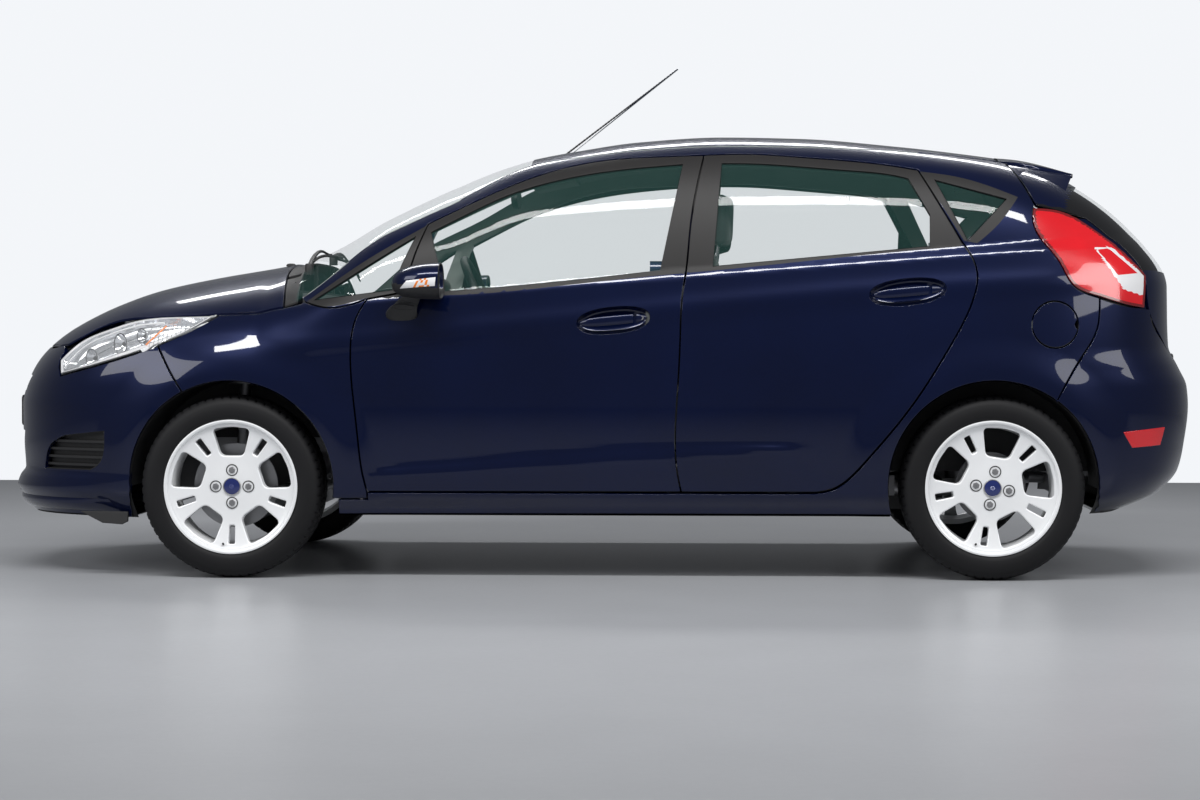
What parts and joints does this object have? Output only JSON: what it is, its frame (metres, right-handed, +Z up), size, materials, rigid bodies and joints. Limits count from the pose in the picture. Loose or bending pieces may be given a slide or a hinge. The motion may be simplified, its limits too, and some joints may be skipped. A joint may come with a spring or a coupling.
{
  "type": "hatchback car",
  "caption": "Five-door hatchback car with opening doors, bonnet, tailgate and fuel flap, and front wheels that steer and roll.",
  "frame": {"origin": "on the ground, under the middle of the whole car's length and width", "axes": "-X towards the front of the car, -Y towards the car's left side, +Z up"},
  "size_m": [4.0558, 1.939, 1.7451],
  "materials": {
    "paint": "metallic gloss",
    "glass": "clear",
    "lamp": "clear",
    "red_lamp": "gloss",
    "black_plastic": "matt",
    "steel": "satin",
    "engine": "cast",
    "interior": "grained",
    "cloth": "woven",
    "rubber": "matt",
    "alloy": "painted silver"
  },
  "bodies": {
    "body": {"body_side_left": "paint", "body_side_right": "paint", "roof_panel": "paint", "windscreen": "glass", "cowl": "black_plastic", "front_wings": "paint", "front_bumper": "paint", "front_grille": "black_plastic", "rear_bumper": "paint", "headlamps": "lamp", "tail_lamps": "red_lamp", "fixed_side_glass": "glass", "floor_pan": "steel", "front_structure": "steel", "front_wells": "steel", "rear_wells": "steel", "rear_axle": "steel", "front_subframe": "steel", "engine_block": "engine", "radiator": "engine", "fuel_tank": "black_plastic", "exhaust": "steel", "dashboard": "interior", "front_seats": "cloth", "rear_seat": "cloth"},
    "front_door_left": {"front_door_left": "paint", "front_door_glass_left": "glass", "mirror_left": "paint"},
    "front_door_right": {"front_door_right": "paint", "front_door_glass_right": "glass", "mirror_right": "paint"},
    "rear_door_left": {"rear_door_left": "paint", "rear_door_glass_left": "glass"},
    "rear_door_right": {"rear_door_right": "paint", "rear_door_glass_right": "glass"},
    "bonnet": {"bonnet": "paint"},
    "tailgate": {"tailgate": "paint", "rear_screen": "glass"},
    "fuel_flap": {"fuel_flap": "paint"},
    "knuckle_left": {"knuckle_left": "steel"},
    "knuckle_right": {"knuckle_right": "steel"},
    "steering_wheel": {"steering_wheel": "interior"},
    "wheel_front_left": {"tyre_front_left": "rubber", "rim_front_left": "alloy"},
    "wheel_front_right": {"tyre_front_right": "rubber", "rim_front_right": "alloy"},
    "wheel_rear_left": {"tyre_rear_left": "rubber", "rim_rear_left": "alloy"},
    "wheel_rear_right": {"tyre_rear_right": "rubber", "rim_rear_right": "alloy"}
  },
  "joints": [
    {"name": "front_door_left_hinge", "type": "hinge", "parent": "body", "child": "front_door_left", "pos_m": [-0.69, -0.818, 0.6], "axis": [0, 0, -1], "range_deg": [0, 65]},
    {"name": "rear_door_left_hinge", "type": "hinge", "parent": "body", "child": "rear_door_left", "pos_m": [0.365, -0.818, 0.6], "axis": [0, 0, -1], "range_deg": [0, 65]},
    {"name": "front_door_right_hinge", "type": "hinge", "parent": "body", "child": "front_door_right", "pos_m": [-0.69, 0.818, 0.6], "axis": [0, 0, 1], "range_deg": [0, 65]},
    {"name": "rear_door_right_hinge", "type": "hinge", "parent": "body", "child": "rear_door_right", "pos_m": [0.365, 0.818, 0.6], "axis": [0, 0, 1], "range_deg": [0, 65]},
    {"name": "bonnet_hinge", "type": "hinge", "parent": "body", "child": "bonnet", "pos_m": [-0.975, 0, 0.985], "axis": [0, 1, 0], "range_deg": [0, 48]},
    {"name": "tailgate_hinge", "type": "hinge", "parent": "body", "child": "tailgate", "pos_m": [1.406, 0, 1.384], "axis": [0, -1, 0], "range_deg": [0, 80]},
    {"name": "fuel_flap_hinge", "type": "hinge", "parent": "body", "child": "fuel_flap", "pos_m": [1.445, -0.81366, 0.832], "axis": [0, -0.1256, -0.9921], "range_deg": [0, 85]},
    {"name": "steer_left", "type": "hinge", "parent": "body", "child": "knuckle_left", "pos_m": [-1.172, -0.672, 0.19], "axis": [0.0331, 0.1611, 0.9864], "range_deg": [-33, 33]},
    {"name": "steer_right", "type": "hinge", "parent": "body", "child": "knuckle_right", "pos_m": [-1.172, 0.672, 0.19], "axis": [0.0331, -0.1611, 0.9864], "range_deg": [-33, 33]},
    {"name": "steering_wheel_turn", "type": "hinge", "parent": "body", "child": "steering_wheel", "pos_m": [-0.366, -0.36, 0.9], "axis": [0.9063, 0, 0.4226], "range_deg": [-500, 500]},
    {"name": "spin_front_left", "type": "hinge", "parent": "knuckle_left", "child": "wheel_front_left", "pos_m": [-1.166, -0.7315, 0.3005], "axis": [0, 1, 0], "continuous": true},
    {"name": "spin_front_right", "type": "hinge", "parent": "knuckle_right", "child": "wheel_front_right", "pos_m": [-1.166, 0.7315, 0.3005], "axis": [0, 1, 0], "continuous": true},
    {"name": "spin_rear_left", "type": "hinge", "parent": "body", "child": "wheel_rear_left", "pos_m": [1.323, -0.724, 0.3005], "axis": [0, 1, 0], "continuous": true},
    {"name": "spin_rear_right", "type": "hinge", "parent": "body", "child": "wheel_rear_right", "pos_m": [1.323, 0.724, 0.3005], "axis": [0, 1, 0], "continuous": true}
  ],
  "couplings": [
    {"joint": "steer_right", "follows": "steer_left", "ratio": 1},
    {"joint": "steering_wheel_turn", "follows": "steer_left", "ratio": 14.5}
  ]
}
